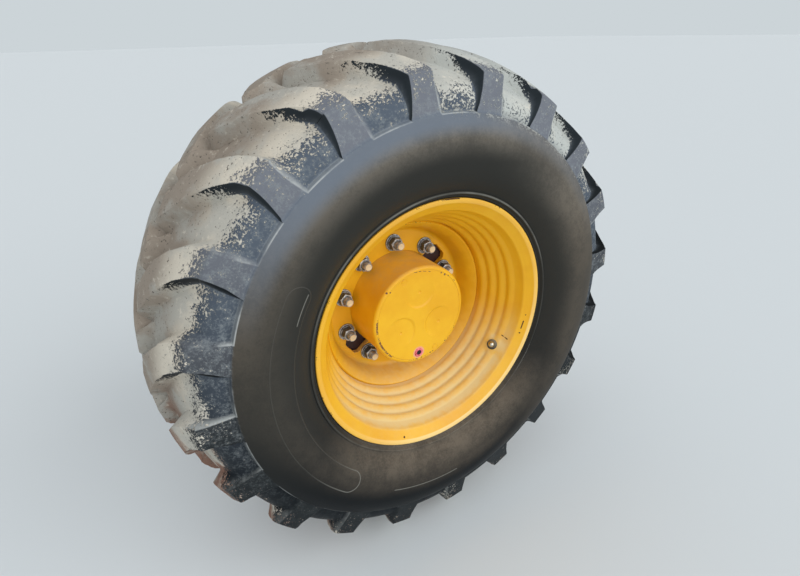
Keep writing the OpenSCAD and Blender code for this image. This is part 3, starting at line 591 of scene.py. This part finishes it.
def buildRim(s, valve):
    count = s["waves"] * 10
    line = []
    for i in range(count + 1):
        t = i / count
        wave = ((1 - math.cos(math.tau * s["waves"] * t)) / 2) ** s["waveFullness"]
        line.append((wellIn + (slopeIn - wellIn) * t - s["waveHeight"] * wave,
                     s["wellHalf"] + (slopeHalf - s["wellHalf"]) * t))
    tilt = math.radians(slopeAngle)
    shift = (s["wall"] * math.cos(tilt), -s["wall"] * math.sin(tilt))
    tyreSide = [(r + shift[0], a + shift[1]) for r, a in line if r + shift[0] > s["well"]]
    tyreSide += [(s["seat"] - s["seatFall"], slopeHalf)] + flangeCurve(s, 0, 6)[::-1]
    # The lip and the flange's outer face, as steps in from the rim's radius and half width
    lip = [(0, 1.6), (0.5, 0.5), (1.8, 0), (5.5, 0.3), (10, 1.6), (12.4, 2.8),
           (13.6, 4.2), (20, 9.2), (27.5, 15.4)]
    lip = [(s["radius"] - r, s["half"] - a) for r, a in lip]
    corner = arcPoints((s["radius"] - 29.5, s["half"] - 17.2), (s["radius"] - 35.2, s["half"] - 24), 0.9, 4)
    half = tyreSide + lip + corner + line[::-1]
    first = len(half) - len(line)
    profile = half + [(r, -a) for r, a in half[::-1]]
    bm = revolve([(r, a + rimMid) for r, a in profile], s["steps"])
    row = bm.verts.layers.int["row"]
    valley = bm.verts.layers.float.new("valley")
    back = valvePlace.inverted()
    for vert in bm.verts:
        i = vert[row] if vert[row] < len(half) else len(profile) - 1 - vert[row]
        if i < first:
            continue
        t = (len(half) - 1 - i) / count
        vert[valley] = ((1 + math.cos(math.tau * s["waves"] * t)) / 2) ** 2
        if vert[row] < len(half):
            # Flatten the waves round the valve
            local = back @ vert.co / mm
            padEdge = valve["padRadius"] + valve["padBlend"]
            near = 1 - smoothStep(valve["padRadius"], padEdge, math.hypot(local.x, local.y))
            local.z += (s["waveHeight"] - local.z) * near
            vert.co = valvePlace @ (local * mm)
    return bm


# Enamel: an even coat with slow changes of tone. Dust settles where it faces up, and chips show primer
# and rust
def enamel(name, s):
    material = newMaterial(name, {"Specular IOR Level": 0.35})
    add = partial(addNode, material.node_tree)
    coords = add("TexCoord").outputs["Object"]
    up = add("SeparateXYZ", add("TexCoord").outputs["Normal"]).outputs["Z"]
    x, y, z = add("SeparateXYZ", coords).outputs
    radius = lengthXZ(add, x, z)
    tones = add("TexNoise", coords, 1000 / s["toneSize"], 4, 0.6)
    stains = add("TexNoise", coords, 1000 / s["stainSize"], 6, 0.7)
    paint = add("Mix", add("MapRange", tones, 0.35, 0.65), s["deep"], s["paint"])
    valley = add("Attribute", attribute_name="valley").outputs["Fac"]
    settled = add("MapRange", add("Math.MULTIPLY_ADD", valley, 0.4, stains), 0.3, 0.85, *s["dustShare"])
    facing = add("Math.MULTIPLY", add("MapRange", up, *s["dustFacing"]),
                 add("MapRange", z, 0.12, -0.12, s["dustAbove"], 1))
    dust = add("Math.MULTIPLY", facing, settled)
    dust = add("Math.MULTIPLY", dust, add("MapRange", radius, 0.304, 0.296, 0.2, 1))
    colour = add("Mix", dust, paint, s["dust"])
    if "lip" in s:
        # Paint is rubbed pale on the rim's lip, most at the lower right
        lip = add("Math.MULTIPLY", add("MapRange", radius, 0.3195, 0.3215),
                  add("MapRange", y, -0.820, -0.823))
        lip = add("Math.MULTIPLY", lip, add("MapRange", z, 0.2, -0.3, 0.15, 0.8))
        lip = add("Math.MULTIPLY", lip, add("MapRange", x, -0.28, -0.02, 0.25, 1))
        colour = add("Mix", lip, colour, s["lip"])
    if "darkAndShadedBehindDisc" in s:
        # The face behind the disc is painted dark, partly its own dark colour and partly painted shade
        # between the disc and the hub, and the paint round the plug has faded
        behind = add("Math.MULTIPLY", add("MapRange", radius, 0.1395, 0.1405),
                     add("MapRange", y, -0.6155, -0.614))
        behind = add("Math.MULTIPLY", behind, add("MapRange", y, -0.597, -0.599))
        colour = add("Mix", behind, colour, s["darkAndShadedBehindDisc"])
        aroundPlug = add("Math.MULTIPLY_ADD", stains, 0.012, add("VectorMath.DISTANCE", coords, plugMiddle))
        colour = add("Mix", add("MapRange", aroundPlug, 0.0245, 0.0225, 0, 0.8), colour, s["plugPaint"])
    # Stone chips: scattered ones, cracks between two points, and single ones at given spots
    scattered = add("TexVoronoi", coords, 1000 / s["chipSpacing"]).outputs["Distance"]
    chips = add("Math.LESS_THAN", scattered, add("MapRange", stains, 0.62, 0.75, 0, s["chipSize"]))
    for start, end, halfWidth in s["cracks"]:
        along = Vector(end) - Vector(start)
        fromStart = add("VectorMath.SUBTRACT", coords, start)
        share = add("VectorMath.DOT_PRODUCT", fromStart, along / along.length_squared)
        share = add("Math.MINIMUM", add("Math.MAXIMUM", share, 0.0), 1.0)
        away = add("VectorMath.DISTANCE", fromStart, add("VectorMath.SCALE", along, share))
        chips = add("Math.MAXIMUM", chips, add("Math.LESS_THAN", away, halfWidth * mm))
    for spot, reach in s["spots"]:
        ragged = add("Math.SUBTRACT", stains, 0.5)
        away = add("VectorMath.DISTANCE", coords, spot)
        away = add("Math.MULTIPLY_ADD", ragged, reach * 2 * mm, away)
        chips = add("Math.MAXIMUM", chips, add("Math.LESS_THAN", away, reach * mm))
    # A broken row of chips round one edge: its radius, half width and reach, and how sparse it is
    ring, halfWidth, reach, sparse = s["edge"]
    nearEdge = add("Math.ABSOLUTE", add("Math.SUBTRACT", radius, ring * mm))
    nearEdge = add("MapRange", nearEdge, halfWidth * mm, halfWidth * 0.6 * mm)
    outward = add("MapRange", y, -(reach - 4) * mm, -(reach - 1) * mm)
    broken = add("Math.MULTIPLY_ADD", add("TexNoise", coords, 1000 / 5, 4, 0.7), 0.9,
                 add("TexNoise", coords, 1000 / 70, 2, 0.6))
    broken = add("MapRange", broken, sparse, sparse + 0.02)
    edgeRow = add("Math.MULTIPLY", add("Math.MULTIPLY", nearEdge, outward), broken)
    chips = add("Math.MAXIMUM", chips, edgeRow)
    grain = add("TexNoise", coords, 1000 / s["grain"], 3, 0.6)
    bump = add("Bump", s["bump"], 1 * mm)
    feed(bump.inputs["Height"], add("Math.MULTIPLY_ADD", chips, -2.0, grain))
    finish(material, {
        "Base Color": add("Mix", chips, colour, s["chip"]),
        "Roughness": add("MapRange", add("Math.MAXIMUM", dust, chips), 0, 1, s["roughness"], 0.85),
        "Normal": bump,
    })
    return material


plugSettings = {
    "turn": -93, "pitch": 110, "end": -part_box("drain_plug")[0].y / mm, "socket": 6.4, "socketDepth": 2,
    "head": 13, "thread": 9.1,
}
plugMiddle = axlePlace(plugSettings["turn"], plugSettings["pitch"], plugSettings["end"] - 4).translation
# Sprayed enamel on rolled or pressed steel is smooth and half bright
sheetSettings = {
    "dustAbove": 0.0, "toneSize": 140, "stainSize": 24, "bump": 0.1, "chip": "#4a2c1c", "chipSize": 0.05,
}
rimEnamel = enamel("sprayedEnamelOnRolledSteel", {
    **sheetSettings, "paint": "#eab119", "deep": "#e4a512", "dust": "#dec894", "lip": "#f3d591",
    "dustFacing": (0.0, 0.7), "dustShare": (0.3, 0.85), "grain": 6, "roughness": 0.4, "chipSpacing": 48,
    "edge": (332, 2.5, 827, 1.12),
    "cracks": (((0.2568, -0.7655, -0.1237), (0.2638, -0.7931, -0.133), 1.7),
               ((0.3, -0.8155, -0.075), (0.293, -0.8152, -0.096), 1.9)),
    "spots": (((0.1529, -0.692, 0.1948), 1.6), ((0.2562, -0.7137, 0.0357), 1.3),
              ((0.3051, -0.8168, -0.0558), 2.2), ((0.2885, -0.8156, -0.1094), 2.4),
              ((-0.1056, -0.82, -0.2962), 2.6)),
})
discEnamel = enamel("sprayedEnamelOnPressedSteel", {
    **sheetSettings, "paint": "#eab21c", "deep": "#e3a816", "dust": "#e0c38a",
    "dustFacing": (0.1, 0.9), "dustShare": (0.25, 0.7), "grain": 8, "roughness": 0.42, "chipSpacing": 60,
    "edge": (236, 2, 681, 1.2), "cracks": (), "spots": (),
})
# Brushed enamel on a casting shows the sand's grain under it
castSettings = {
    "paint": "#ebb51d", "deep": "#e3a714", "dust": "#c7a36c", "dustFacing": (0.35, 0.95), "dustAbove": 1.0,
    "dustShare": (0.2, 0.7), "toneSize": 140, "stainSize": 24, "grain": 3, "bump": 0.25, "roughness": 0.42,
    "chip": "#744c3c", "chipSpacing": 40, "chipSize": 0.06, "edge": (130, 3.2, 738, 1.07),
    "cracks": (), "spots": (),
}
hubEnamel = enamel("brushedEnamelOnTurnedCasting", {
    # The face behind the disc is partly dark of its own and partly painted shade
    **castSettings, "darkAndShadedBehindDisc": "#35211f", "plugPaint": "#e9a08c",
    "cracks": (((-0.018, -0.738, 0.1284), (-0.009, -0.738, 0.1279), 1.2),
               ((-0.003, -0.738, 0.1275), (0.003, -0.738, 0.1266), 1.2),
               ((0.009, -0.738, 0.1255), (0.018, -0.738, 0.1232), 1.2),
               ((0.026, -0.738, 0.121), (0.031, -0.738, 0.1193), 1.3)),
    "spots": (((-0.0975, -0.7362, 0.0925), 3.0), ((-0.0885, -0.738, 0.0925), 2.2),
              ((0.0655, -0.738, 0.1074), 2.0), ((0.0768, -0.738, 0.0997), 2.8),
              ((0.0883, -0.738, 0.093), 2.3), ((0.0323, -0.738, -0.1236), 2.4),
              ((0.0406, -0.738, -0.1217), 2.0), ((0.0912, -0.7375, -0.0955), 1.6)),
})
armEnamel = enamel("brushedEnamelOnRoughCasting", {
    **castSettings, "paint": "#e2a81c", "deep": "#d29913", "bump": 0.45,
})

addPiece("rolledRim", buildRim(rimSettings, valveSettings), rimEnamel, "wheel", ["rim"],
         corner=50)
addPiece("dishedDisc", softenedCopy("disc", 1.5), discEnamel, "wheel", ["disc"],
         weighted=True)
print("rim and disc ready")


# Hub: a cast barrel and flange, and a cover with three shallow recesses over the planet pins
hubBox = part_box("hub")
hubEnd = -hubBox[0].y / mm
coverBack = hubEnd - 16
hubSettings = {
    "barrel": 139, "end": hubEnd, "rounding": 9, "flange": hubBox[1].x / mm, "flangeFrom": 572,
    "flangeTo": 600, "pilot": 140.2, "pilotTo": 616, "barrelFrom": 618, "body": 146, "bodyFrom": 490,
    "tail": 118, "tailFrom": 440, "tailTo": 460, "bore": 80.05, "middle": 86, "middleTo": 541,
    "outerBore": 62.1, "chamber": 112, "cover": 128.3, "ledge": coverBack, "chamfer": 2, "steps": 144,
}
coverSettings = {
    "radius": 128.0, "spigot": 111.7, "base": coverBack, "back": hubEnd - 24, "end": hubEnd, "chamfer": 0.6,
    "pins": 3, "pitch": 69, "turn": 90, "recess": 46, "depth": 3.2, "blend": 7, "fade": (45, 105),
    "dimple": 4.5, "dimpleDepth": 3, "screwPitch": 119, "screwTurns": (113.7, 293.7), "screwSink": 1.6,
    "screwSinkRadii": (6.6, 8.4), "rings": 63, "steps": 300,
}


def buildHub(s):
    outer = [(s["tail"], s["tailFrom"]), (s["tail"], s["tailTo"]), (s["body"], s["bodyFrom"]),
             (s["body"], s["flangeFrom"] - 6), (s["body"] + 2, s["flangeFrom"] - 1.5),
             (s["body"] + 7, s["flangeFrom"]), (s["flange"] - s["chamfer"], s["flangeFrom"]),
             (s["flange"], s["flangeFrom"] + s["chamfer"]), (s["flange"], s["flangeTo"] - s["chamfer"]),
             (s["flange"] - s["chamfer"], s["flangeTo"]), (s["pilot"], s["flangeTo"]),
             (s["pilot"], s["pilotTo"]), (s["barrel"], s["barrelFrom"])]
    outer += quarterPoints((s["barrel"], s["end"] - s["rounding"]),
                           (s["barrel"] - s["rounding"], s["end"]), 8)
    outer += [(s["cover"] + 0.4, s["end"]), (s["cover"], s["end"] - 0.4), (s["cover"], s["ledge"])]
    inner = [(s["chamber"], s["ledge"]), (s["chamber"], s["barrelFrom"]), (s["outerBore"], s["barrelFrom"]),
             (s["outerBore"], s["flangeFrom"]), (s["middle"], s["middleTo"]), (s["middle"], s["bodyFrom"]),
             (s["bore"], s["bodyFrom"]), (s["bore"], s["tailFrom"])]
    return revolve(outer + inner, s["steps"])


def buildCover(s):
    top = s["radius"] - s["chamfer"]
    points = [(0, s["back"]), (s["spigot"], s["back"]), (s["spigot"], s["base"]), (s["radius"], s["base"]),
              (s["radius"], s["end"] - s["chamfer"]), (top, s["end"])]
    first = len(points)
    points += [(top * (1 - i / s["rings"]), s["end"]) for i in range(1, s["rings"] + 1)]
    bm = revolve(points, s["steps"], closed=False)
    row = bm.verts.layers.int["row"]
    pins = [math.radians(s["turn"] + 360 * k / s["pins"]) for k in range(s["pins"])]
    screws = [math.radians(turn) for turn in s["screwTurns"]]
    for vert in bm.verts:
        if vert[row] < first:
            continue
        x, z = vert.co.x / mm, vert.co.z / mm
        # The recesses run out towards the cover's rim, so their inner ends leave a soft Y between them
        fade = 1 - smoothStep(*s["fade"], math.hypot(x, z))
        sink = 0
        for pin in pins:
            away = math.hypot(x - s["pitch"] * math.cos(pin), z - s["pitch"] * math.sin(pin))
            recess = 1 - smoothStep(s["recess"] - s["blend"], s["recess"], away)
            sink = max(sink, s["depth"] * fade * recess)
            sink += s["dimpleDepth"] * (1 - smoothStep(s["dimple"] * 0.4, s["dimple"], away))
        for screw in screws:
            away = math.hypot(x - s["screwPitch"] * math.cos(screw), z - s["screwPitch"] * math.sin(screw))
            sink += s["screwSink"] * (1 - smoothStep(*s["screwSinkRadii"], away))
        vert.co.y += sink * mm
    return bm


addPiece("hubCasting", buildHub(hubSettings), hubEnamel, "wheel", ["hub"], corner=32)
addPiece("hubCoverCasting", buildCover(coverSettings), hubEnamel, "wheel", ["hub_cover"])
print("hub ready")


# Fasteners
studSettings = {
    "count": 10, "circle": 167.5, "turn": 19.3, "radius": 11, "root": 10.1, "pitch": 2.4, "face": 616,
    "back": 561, "headRadius": 16.5, "headHeight": 11, "threadFrom": 637, "tip": 658, "steps": 20,
}
nutSettings = {"flats": 32, "height": 19, "bore": 11.4, "turnEach": 0.9, "steps": 48}
washerSettings = {"radius": 23.5, "height": 5, "collar": 18.8, "groove": 20, "bore": 11.3, "steps": 40}
studTurns = [studSettings["turn"] + 360 / studSettings["count"] * i for i in range(studSettings["count"])]

# Forged and zinc-plated steel: grey and half bright, with a film in the hollows and pale dust on the ends
steelSettings = {
    "side": "#4f5254", "filmed": "#8b9093", "bright": "#d3d6d6", "tip": "#e2d0a8", "filmSize": 9,
    "tipReach": (0.6555, 0.6575),
}


def forgedSteel(s):
    material = newMaterial("dustyZincPlatedSteel", {})
    add = partial(addNode, material.node_tree)
    coords = add("TexCoord").outputs["Object"]
    facing = add("SeparateXYZ", add("TexCoord").outputs["Normal"]).outputs["Y"]
    film = add("TexNoise", coords, 1000 / s["filmSize"], 5, 0.7)
    face = add("Mix", add("MapRange", film, 0.4, 0.6), s["filmed"], s["bright"])
    # Faces that look out along the axle are painted bright as a highlight, and the sides darker as shade
    colour = add("Mix", add("MapRange", facing, -0.35, -0.85), s["side"], face)
    start, end = s["tipReach"]
    tip = add("MapRange", add("SeparateXYZ", coords).outputs["Y"], -start, -end)
    finish(material, {
        "Base Color": add("Mix", tip, colour, s["tip"]),
        "Metallic": add("MapRange", tip, 0, 1, 0.45, 0.05),
        "Roughness": add("MapRange", film, 0.3, 0.7, 0.5, 0.3),
    })
    return material


def buildStuds(s):
    points = [(0, s["back"]), (s["headRadius"] - 1, s["back"]), (s["headRadius"], s["back"] + 1),
              (s["headRadius"], s["back"] + s["headHeight"]), (s["radius"], s["back"] + s["headHeight"]),
              (s["radius"], s["threadFrom"] - 1)]
    turns = int((s["tip"] - 4 - s["threadFrom"]) / s["pitch"]) + 1
    for i in range(turns):
        reach = s["threadFrom"] + i * s["pitch"]
        points += [(s["root"], reach), (s["radius"], reach + s["pitch"] / 2)]
    points += [(s["root"], s["tip"] - 3), (8.6, s["tip"] - 0.6), (8, s["tip"]), (3, s["tip"]),
               (0, s["tip"] - 1.5)]
    one = revolve(points, s["steps"], closed=False, place=Matrix.Identity(4))
    return repeated(one, [axlePlace(t, s["circle"], 0) for t in studTurns])


def buildNuts(s, studs, washer):
    # A round nut with both ends rounded, whose sides are then drawn in on to the six flats
    corner = s["flats"] / 2 / math.cos(math.radians(30))
    flat = s["flats"] / 2
    one = revolve([(s["bore"], 1.6), (s["bore"], s["height"] - 1.6), (s["bore"] + 1.6, s["height"]),
                   (flat - 1.0, s["height"]), (flat + 0.7, s["height"] - 1.0), (corner, s["height"] - 2.3),
                   (corner, 1.6), (flat + 0.9, 0.6), (flat - 0.6, 0), (s["bore"] + 1.2, 0)],
                  s["steps"], place=Matrix.Identity(4))
    for vert in one.verts:
        away = math.hypot(vert.co.x, vert.co.y)
        inSixth = (math.degrees(math.atan2(vert.co.y, vert.co.x)) + 30) % 60 - 30
        limit = flat * mm / math.cos(math.radians(inSixth))
        if away > limit:
            vert.co.x *= limit / away
            vert.co.y *= limit / away
    seat = studs["face"] + washer["height"]
    return repeated(one, [axlePlace(t, studs["circle"], seat) @ Matrix.Rotation(i * s["turnEach"], 4, "Z")
                          for i, t in enumerate(studTurns)])


def buildWashers(s, studs):
    one = revolve([(s["bore"], 0), (s["radius"], 0), (s["radius"], 2.4), (s["radius"] - 0.8, 3.4),
                   (s["groove"] + 1, 3.6), (s["groove"], 2.2), (s["collar"] + 0.6, 2.2),
                   (s["collar"], s["height"]), (s["bore"], s["height"])],
                  s["steps"], place=Matrix.Identity(4))
    return repeated(one, [axlePlace(t, studs["circle"], studs["face"]) for t in studTurns])


steel = forgedSteel(steelSettings)
nuts = buildNuts(nutSettings, studSettings, washerSettings)
washers = buildWashers(washerSettings, studSettings)
addPiece("threadedStuds", buildStuds(studSettings), steel, "wheel", ["studs"], corner=35)
addPiece("wheelNuts", nuts, steel, "wheel", ["nuts"], corner=25)
addPiece("nutWashers", washers, steel, "wheel", ["washers"], corner=30)

# Worn red enamel: brushed on, faded pink at the head's edge, painted shade in the socket
red = newMaterial("wornRedEnamel", {"Roughness": 0.5})
add = partial(addNode, red.node_tree)
coords = add("TexCoord").outputs["Object"]
fade = add("MapRange", add("TexNoise", coords, 1000 / 6, 4, 0.6), 0.35, 0.6)
fade = add("Mix", fade, "#b01836", "#e8808a")
socketShade = add("MapRange", add("VectorMath.DISTANCE", coords, plugMiddle), 0.0082, 0.0070)
finish(red, {"Base Color": add("Mix", socketShade, fade, "#160a0c")})


def buildPlug(s, face, back):
    floorReach = s["end"] - s["socketDepth"]
    points = [(0, floorReach), (s["socket"], floorReach), (s["socket"] + 0.4, s["end"] - 0.8),
              (s["socket"] + 1.2, s["end"]), (s["head"] - 1.6, s["end"]), (s["head"], s["end"] - 1.6),
              (s["head"], face), (s["thread"], face), (s["thread"], back), (0, back)]
    place = axlePlace(s["turn"], s["pitch"], 0)
    bm = revolve(points, 36, closed=False, place=Matrix.Identity(4))
    bmesh.ops.transform(bm, matrix=place, verts=bm.verts)
    return bm


addPiece("drainPlugHead", buildPlug(plugSettings, hubEnd - 5, coverBack), red, "wheel",
         ["drain_plug"])
addPiece("coverScrewHeads", softenedCopy("cover_screws", 0.5), hubEnamel, "wheel",
         ["cover_screws"], weighted=True)

# Soft rubber, dusty where it faces up
valveRubber = newMaterial("softMouldedRubber", {"Roughness": 0.6})
add = partial(addNode, valveRubber.node_tree)
up = add("SeparateXYZ", add("TexCoord").outputs["Normal"]).outputs["Z"]
dusty = add("MapRange", up, 0.0, 0.8, 0, 0.7)
finish(valveRubber, {"Base Color": add("Mix", dusty, "#2c2b28", "#8a7f68")})
# Nickel-plated brass: bright and a little warm
plated = newMaterial("nickelPlatedBrass", {"Base Color": "#b9b4a6", "Metallic": 1.0, "Roughness": 0.25})


def buildValveSeat(s, base):
    top = base + s["seatHeight"]
    return revolve([(0, -s["stemDepth"]), (s["stem"], -s["stemDepth"]), (s["stem"], base),
                    (s["seatRadius"], base), (s["seatRadius"], base + 1.6),
                    (s["seatRadius"] - 1.4, base + 2.8), (s["collarRadius"], top), (0, top)],
                   36, closed=False, place=valvePlace)


def buildValveDome(s, base):
    start = base + s["seatHeight"]
    middle = start + s["domeRadius"] / 2
    points = [(0, start), (s["domeRadius"], start), (s["domeRadius"], middle)]
    for turn in range(10, 91, 10):
        points.append((s["domeRadius"] * math.cos(math.radians(turn)),
                       middle + s["domeRadius"] * math.sin(math.radians(turn))))
    return revolve(points, 36, closed=False, place=valvePlace)


padHeight = rimSettings["waveHeight"]
addPiece("valveSeatRubber", buildValveSeat(valveSettings, padHeight), valveRubber, "wheel",
         ["valve_seat"])
addPiece("valveDomeCap", buildValveDome(valveSettings, padHeight), plated, "wheel",
         ["valve_cap"])
print("fasteners and valve ready")


# Arm, spindle and shaft: oily forged iron is dark and half dull, turned steel is bright
forged = newMaterial("oilyForgedIron", {"Metallic": 0.4, "Roughness": 0.55})
add = partial(addNode, forged.node_tree)
oil = add("TexNoise", add("TexCoord").outputs["Object"], 1000 / 16, 5, 0.7)
finish(forged, {"Base Color": add("Mix", oil, "#2b2320", "#5a4c42")})
machined = newMaterial("turnedSteel", {"Base Color": "#a9a7a2", "Metallic": 1.0, "Roughness": 0.35})
# Each piece's name, CAD node, edge rounding in mm, material, body and slot
armPieces = (
    ("axleArmCasting", "axle_arm", 2.0, armEnamel, "axle", "arm_paint"),
    ("spindleForging", "spindle", 1.2, forged, "axle", "dark_iron"),
    ("spindleBoltHeads", "spindle_bolts", 0.8, steel, "axle", "dull_steel"),
    ("dustRing", "dust_ring", 0.8, forged, "axle", "dark_iron"),
    ("breatherCap", "breather", 0.8, machined, "axle", "bright_steel"),
    ("splinedHalfShaft", "half_shaft", 0.5, machined, "half_shaft", "bright_steel"),
)
for name, node, bevel, material, body, slotName in armPieces:
    addPiece(name, softenedCopy(node, bevel), material, body, [node], weighted=True)
print("arm, spindle and shaft ready")
